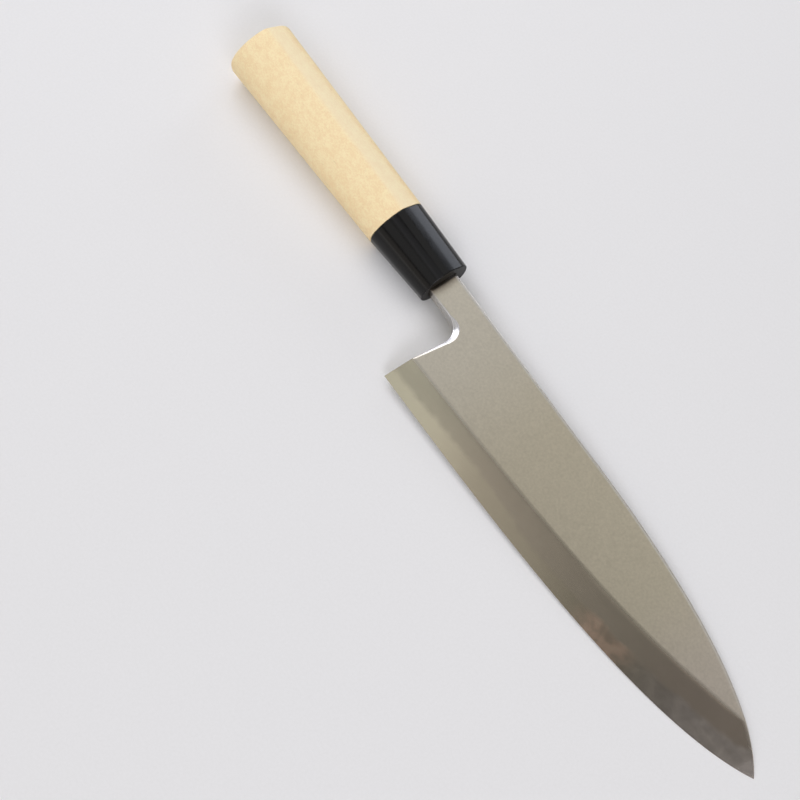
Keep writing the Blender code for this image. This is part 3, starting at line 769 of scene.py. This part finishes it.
def bareHoWood():
    made, tree, shader = newMaterial("hoWoodSandedBare")
    coords = addNode(tree, "ShaderNodeTexCoord")
    knife = addNode(tree, "ShaderNodeMapping", {"vector_type": "TEXTURE"}, {
        "Vector": coords.outputs["Object"], "Location": rest["place"], "Rotation": tuple(restTurn)})
    # scale per metre along, across and through the wood, then the noise
    patterns = {
        "fibre": ({"Scale": (140.0, 1 / ho["grainWidth"], 1 / ho["grainWidth"])},
                  {"Detail": 6.0, "Roughness": 0.6}),
        "ring": ({"Rotation": (0.5, 0.0, 0.02), "Scale": (6.0, 1 / ho["ringWidth"], 60.0)},
                 {"Detail": 2.0, "Distortion": 0.4}),
        "mottle": ({"Scale": (0.8 / ho["mottle"], 1 / ho["mottle"], 1 / ho["mottle"])},
                   {"Detail": 3.0}),
        "speckle": ({"Scale": (0.8 / ho["fleck"], 1 / ho["fleck"], 1 / ho["fleck"])},
                    {"Detail": 2.0, "Roughness": 0.7}),
        "pore": ({"Scale": (350.0, 2600.0, 2600.0)},
                 {"Detail": 2.0}),
    }
    grain = {}
    for name, (placing, noise) in patterns.items():
        placed = addNode(tree, "ShaderNodeMapping", {}, {"Vector": knife, **placing})
        grain[name] = addNode(tree, "ShaderNodeTexNoise", {}, {"Vector": placed, "Scale": 1.0, **noise})
    tone = 0.0
    for name, share in ho["shares"].items():
        tone = addNode(tree, "ShaderNodeMath", {"operation": "MULTIPLY_ADD"}, {
            0: grain[name], 1: share, 2: tone})
    paleness = addNode(tree, "ShaderNodeMapRange", {}, {
        "Value": tone, "From Min": ho["toneRange"][0], "From Max": ho["toneRange"][1]})
    wood = addNode(tree, "ShaderNodeMix", colourMix, {
        0: paleness, 6: srgb(ho["deepColour"]), 7: srgb(ho["paleColour"])})
    pores = addNode(tree, "ShaderNodeMapRange", {}, {
        "Value": grain["pore"], "From Min": ho["poreRange"][0], "From Max": ho["poreRange"][1],
        "To Max": ho["poreDepth"]})
    wood = addNode(tree, "ShaderNodeMix", colourMix, {0: pores, 6: wood, 7: srgb(ho["poreColour"])})
    # painted light: the facet by the spine is painted a little paler, as the light falls on it
    place = addNode(tree, "ShaderNodeSeparateXYZ", {}, {0: knife})
    onFacet = 1.0
    for axis, start, end in ho["facet"]:
        onFacet = addNode(tree, "ShaderNodeMapRange", smoothStep, {
            "Value": place.outputs[axis], "From Min": start, "From Max": end, "To Max": onFacet})
    paintedFacetLight = addNode(tree, "ShaderNodeMath", {"operation": "MULTIPLY"}, {0: onFacet, 1: ho["facetPaintedLight"]})
    wood = addNode(tree, "ShaderNodeMix", colourMix, {0: paintedFacetLight, 6: wood, 7: srgb(ho["facetLightColour"])})
    tree.links.new(wood.outputs[2], shader.inputs["Base Color"])
    rough = addNode(tree, "ShaderNodeMapRange", {}, {
        "Value": grain["fibre"], "To Min": ho["roughness"][0], "To Max": ho["roughness"][1]})
    tree.links.new(rough.outputs[0], shader.inputs["Roughness"])
    bump = addNode(tree, "ShaderNodeBump", {}, {
        "Height": grain["fibre"], "Strength": ho["fibreBump"], "Distance": ho["fibreDepth"]})
    tree.links.new(bump.outputs[0], shader.inputs["Normal"])
    return made


# Black plastic ferrule: moulded polypropylene with a glossy skin.
# It gives a deep black with clear highlights and a few fine rubs.
plastic = {
    "colour": "#0b0a09", "rubColour": "#11100f", "roughness": 0.13, "ior": 1.36,
    "rub": 0.0020, "rubRoughness": 0.06, "rubBump": 0.04, "rubDepth": 0.0001,
    "frontRoughness": 0.45, "frontEdge": (-0.0003, -0.00005),
}


def glossyBlackPlastic():
    made, tree, shader = newMaterial("blackPlasticMoulded")
    coords = addNode(tree, "ShaderNodeTexCoord")
    rubs = addNode(tree, "ShaderNodeMapping", {}, {
        "Vector": coords.outputs["Object"], "Scale": [1 / plastic["rub"]] * 3})
    rub = addNode(tree, "ShaderNodeTexNoise", {}, {
        "Vector": rubs, "Scale": 1.0, "Detail": 6.0, "Roughness": 0.65})
    rough = addNode(tree, "ShaderNodeMapRange", {}, {
        "Value": rub, "From Min": 0.35, "From Max": 0.75,
        "To Min": plastic["roughness"], "To Max": plastic["roughness"] + plastic["rubRoughness"]})
    # the front face is as the saw left it
    knife = addNode(tree, "ShaderNodeMapping", {"vector_type": "TEXTURE"}, {
        "Vector": coords.outputs["Object"], "Location": rest["place"], "Rotation": tuple(restTurn)})
    along = addNode(tree, "ShaderNodeSeparateXYZ", {}, {0: knife})
    front = addNode(tree, "ShaderNodeMapRange", smoothStep, {
        "Value": along.outputs["X"], "From Min": plastic["frontEdge"][0], "From Max": plastic["frontEdge"][1],
        "To Min": rough, "To Max": plastic["frontRoughness"]})
    tree.links.new(front.outputs[0], shader.inputs["Roughness"])
    tone = addNode(tree, "ShaderNodeMix", colourMix, {
        0: rub, 6: srgb(plastic["colour"]), 7: srgb(plastic["rubColour"])})
    tree.links.new(tone.outputs[2], shader.inputs["Base Color"])
    bump = addNode(tree, "ShaderNodeBump", {}, {
        "Height": rub, "Strength": plastic["rubBump"], "Distance": plastic["rubDepth"]})
    tree.links.new(bump.outputs[0], shader.inputs["Normal"])
    shader.inputs["IOR"].default_value = plastic["ior"]
    return made


finish(woodHandle, bareHoWood(), "handle")
finish(blackFerrule, glossyBlackPlastic(), "ferrule")

print("stage: floor, lamps and camera")
stage = {
    "floorColour": "#e9e7e3", "fleckColour": "#efedea", "farColour": "#e3e2e0",
    "worldColour": "#f4f3f1", "worldStrength": 0.15,
    "fleckScale": 900.0,     # per metre: the paper's flecks are about a millimetre
    "plain": (0.6, 1.6),     # m from the knife over which the paper turns to its plain colour
    "reach": 4.4, "wallHeight": 1.2,
}


def paleBackdrop():
    # paper near the knife; further off it shows its plain colour to the eye, to metal and to glass,
    # and gives no light
    made, tree, shader = newMaterial("palePaper")
    coords = addNode(tree, "ShaderNodeTexCoord")
    fleck = addNode(tree, "ShaderNodeTexNoise", {}, {
        "Vector": coords.outputs["Object"], "Scale": stage["fleckScale"], "Detail": 3.0})
    tone = addNode(tree, "ShaderNodeMix", colourMix, {
        0: fleck, 6: srgb(stage["floorColour"]), 7: srgb(stage["fleckColour"])})
    tree.links.new(tone.outputs[2], shader.inputs["Base Color"])
    shader.inputs["Roughness"].default_value = 0.9
    distance = addNode(tree, "ShaderNodeVectorMath", {"operation": "LENGTH"}, {0: coords.outputs["Object"]})
    isFar = addNode(tree, "ShaderNodeMapRange", smoothStep, {
        "Value": distance.outputs["Value"], "From Min": stage["plain"][0], "From Max": stage["plain"][1]})
    path = addNode(tree, "ShaderNodeLightPath")
    seen = path.outputs["Is Camera Ray"]
    for ray in ("Is Glossy Ray", "Is Transmission Ray"):
        seen = addNode(tree, "ShaderNodeMath", {"operation": "MAXIMUM"}, {0: seen, 1: path.outputs[ray]})
    share = addNode(tree, "ShaderNodeMath", {"operation": "MULTIPLY"}, {0: isFar, 1: seen})
    glow = addNode(tree, "ShaderNodeEmission", {}, {"Color": srgb(stage["farColour"]), "Strength": 1.0})
    mixed = addNode(tree, "ShaderNodeMixShader", {}, {0: share, 1: shader, 2: glow})
    tree.links.new(mixed.outputs[0], tree.nodes["Material Output"].inputs["Surface"])
    return made


palePaper = paleBackdrop()
bpy.ops.object.select_all(action="DESELECT")
bpy.ops.mesh.primitive_plane_add(size=2.2 * stage["reach"], location=(0, 0, 0))
floor = bpy.context.object
floor.name = "floor"
bpy.ops.object.select_all(action="DESELECT")
bpy.ops.mesh.primitive_cylinder_add(vertices=96, radius=stage["reach"], depth=stage["wallHeight"],
                                    end_fill_type="NOTHING", location=(0, 0, stage["wallHeight"] / 2))
wall = bpy.context.object
wall.name = "wall"
bpy.ops.object.transform_apply(location=True, rotation=True, scale=True)
for piece in (floor, wall):
    piece.data.materials.append(palePaper)

world = bpy.data.worlds.new("softRoom")
world.use_nodes = True
world.node_tree.nodes["Background"].inputs["Color"].default_value = srgb(stage["worldColour"])
world.node_tree.nodes["Background"].inputs["Strength"].default_value = stage["worldStrength"]
bpy.context.scene.world = world

lamps = {
    # place, aim, width and depth, brightness, colour, turn about its own axis in degrees
    "overheadBox": ((0.06, 0.44, 0.92), (0.06, 0.44, 0.0), (1.60, 0.80), 0.59, "#ffffff", 9.5),
    "buttSideBox": ((-0.95, 0.10, 0.92), (-0.03, 0.0, 0.0), (1.36, 0.75), 3.1, "#f0f2fd", 0.0),
    "pointSideBox": ((1.00, -0.55, 0.85), (0.0, 0.0, 0.0), (0.80, 0.55), 5.6, "#f2f4ff", 0.0),
    "spineSideBox": ((-0.43, 1.30, 0.46), (0.0, 0.0, 0.0), (0.60, 0.34), 3.4, "#ecf2ff", 0.0),
    "spineHighBox": ((0.10, 1.10, 0.96), (0.05, 0.0, 0.0), (1.60, 0.30), 0.35, "#ffffff", 0.0),
    "edgeSideBox": ((0.0, -0.74, 0.82), (0.0, 0.0, 0.0), (1.50, 0.43), 0.52, "#ffffff", 0.0),
    "edgeFillBox": ((0.0, -0.48, 1.00), (0.0, 0.0, 0.0), (1.50, 0.25), 0.25, "#ffffff", 0.0),
    "heelFillBox": ((-0.17, -0.22, 0.95), (-0.03, 0.0, 0.0), (0.30, 0.46), 0.54, "#f6f7ff", 0.0),
    "middleFillBox": ((0.08, -0.15, 0.94), (0.08, 0.0, 0.0), (0.20, 0.28), 0.16, "#ffffff", 0.0),
    "edgeLowBox": ((0.10, -1.25, 0.50), (0.0, 0.0, 0.0), (1.60, 0.50), 0.60, "#fff6ec", 0.0),
}
for name, (place, target, (width, depth), brightness, colour, spin) in lamps.items():
    # brightness is what a mirror would show of the lamp, so its watts follow from its area
    aim = (Vector(target) - Vector(place)).to_track_quat("-Z", "Y")
    aim = aim @ Quaternion((0, 0, 1), math.radians(spin))
    bpy.ops.object.light_add(type="AREA", location=place, rotation=aim.to_euler())
    lamp = bpy.context.object
    lamp.name = name
    lamp.data.shape = "RECTANGLE"
    lamp.data.size, lamp.data.size_y = width, depth
    lamp.data.energy = brightness * math.pi * width * depth
    lamp.data.color = srgb(colour)[:3]

camera = {
    "place": (0.0816, -0.1490, 0.4266), "turn": (19.2819, -5.7620, 54.6467), "lens": 50.13, "sensor": 36.0,
    "clipStart": 0.01,
}
turn = [math.radians(angle) for angle in camera["turn"]]
bpy.ops.object.camera_add(location=camera["place"], rotation=turn)
view = bpy.context.object
view.name = "photoView"
view.data.lens = camera["lens"]
view.data.sensor_width = camera["sensor"]
view.data.clip_start = camera["clipStart"]
bpy.context.scene.camera = view
bpy.context.scene.view_settings.view_transform = "Standard"
